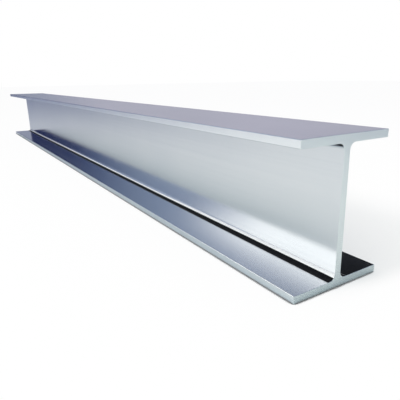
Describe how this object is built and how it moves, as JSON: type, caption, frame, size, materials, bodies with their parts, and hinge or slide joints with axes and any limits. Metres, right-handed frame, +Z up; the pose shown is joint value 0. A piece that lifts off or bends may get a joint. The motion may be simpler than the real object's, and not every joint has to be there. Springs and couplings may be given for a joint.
{
  "type": "steel i-beam",
  "caption": "Straight rolled steel beam of I section with parallel flanges, filleted web and square sawn ends, for carrying loads in a frame or floor.",
  "frame": {"origin": "middle of the bottom flange's underside, on the floor that the beam lies on", "axes": "+X along the beam from one sawn end to the other, +Y across the flanges, +Z up the web"},
  "size_m": [2, 0.15, 0.194],
  "materials": {
    "rolled_steel": "satin"
  },
  "bodies": {
    "root": {"i_beam": "rolled_steel"}
  },
  "joints": []
}
